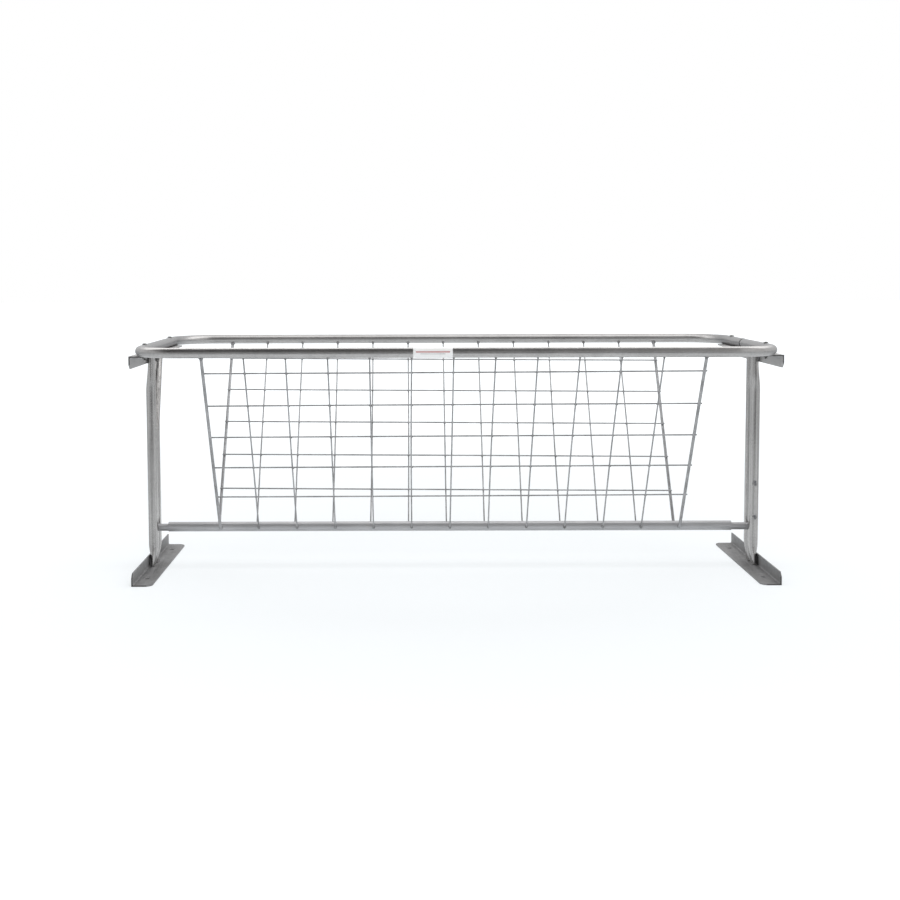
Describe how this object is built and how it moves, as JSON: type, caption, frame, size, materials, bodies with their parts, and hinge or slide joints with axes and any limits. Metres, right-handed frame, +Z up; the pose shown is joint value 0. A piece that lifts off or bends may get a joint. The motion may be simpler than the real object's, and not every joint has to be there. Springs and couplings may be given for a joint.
{
  "type": "livestock hay rack",
  "caption": "Free-standing galvanised hay rack: rounded tube ring, V-shaped welded wire basket, bottom rail and end stands of paired tube legs on angle feet.",
  "frame": {"origin": "on the floor, at the middle of the object's footprint", "axes": "+X along the rack towards its right end, +Y to the back, +Z up; the labelled front rail faces -Y"},
  "size_m": [1.6214, 0.6918, 0.6023],
  "materials": {
    "galvanised_tube": "satin galvanised tube",
    "galvanised_wire": "dull galvanised wire",
    "hot_dipped_angle": "dull grey hot-dipped angle",
    "zinc_plated_fastener": "zinc plated",
    "paper_label": "blank white vinyl"
  },
  "bodies": {
    "root": {"blank_label": "paper_label", "bottom_rail": "galvanised_tube", "front_cross_wire_1": "galvanised_wire", "front_cross_wire_2": "galvanised_wire", "front_cross_wire_3": "galvanised_wire", "front_cross_wire_4": "galvanised_wire", "front_cross_wire_5": "galvanised_wire", "front_edge_rod_left": "galvanised_wire", "front_edge_rod_right": "galvanised_wire", "front_upright_wire_01": "galvanised_wire", "front_upright_wire_02": "galvanised_wire", "front_upright_wire_03": "galvanised_wire", "front_upright_wire_04": "galvanised_wire", "front_upright_wire_05": "galvanised_wire", "front_upright_wire_06": "galvanised_wire", "front_upright_wire_07": "galvanised_wire", "front_upright_wire_08": "galvanised_wire", "front_upright_wire_09": "galvanised_wire", "front_upright_wire_10": "galvanised_wire", "front_upright_wire_11": "galvanised_wire", "left_foot": "hot_dipped_angle", "left_front_leg": "galvanised_tube", "left_rail_stub": "galvanised_tube", "left_rear_leg": "galvanised_tube", "left_top_bracket": "hot_dipped_angle", "rear_cross_wire_1": "galvanised_wire", "rear_cross_wire_2": "galvanised_wire", "rear_cross_wire_3": "galvanised_wire", "rear_cross_wire_4": "galvanised_wire", "rear_cross_wire_5": "galvanised_wire", "rear_edge_rod_left": "galvanised_wire", "rear_edge_rod_right": "galvanised_wire", "rear_upright_wire_01": "galvanised_wire", "rear_upright_wire_02": "galvanised_wire", "rear_upright_wire_03": "galvanised_wire", "rear_upright_wire_04": "galvanised_wire", "rear_upright_wire_05": "galvanised_wire", "rear_upright_wire_06": "galvanised_wire", "rear_upright_wire_07": "galvanised_wire", "rear_upright_wire_08": "galvanised_wire", "rear_upright_wire_09": "galvanised_wire", "rear_upright_wire_10": "galvanised_wire", "rear_upright_wire_11": "galvanised_wire", "right_foot": "hot_dipped_angle", "right_front_leg": "galvanised_tube", "right_rail_stub": "galvanised_tube", "right_rear_leg": "galvanised_tube", "right_top_bracket": "hot_dipped_angle", "ring_bolt_nuts": "zinc_plated_fastener", "ring_bolt_washers": "zinc_plated_fastener", "ring_bolts": "zinc_plated_fastener", "top_ring": "galvanised_tube"}
  },
  "joints": []
}
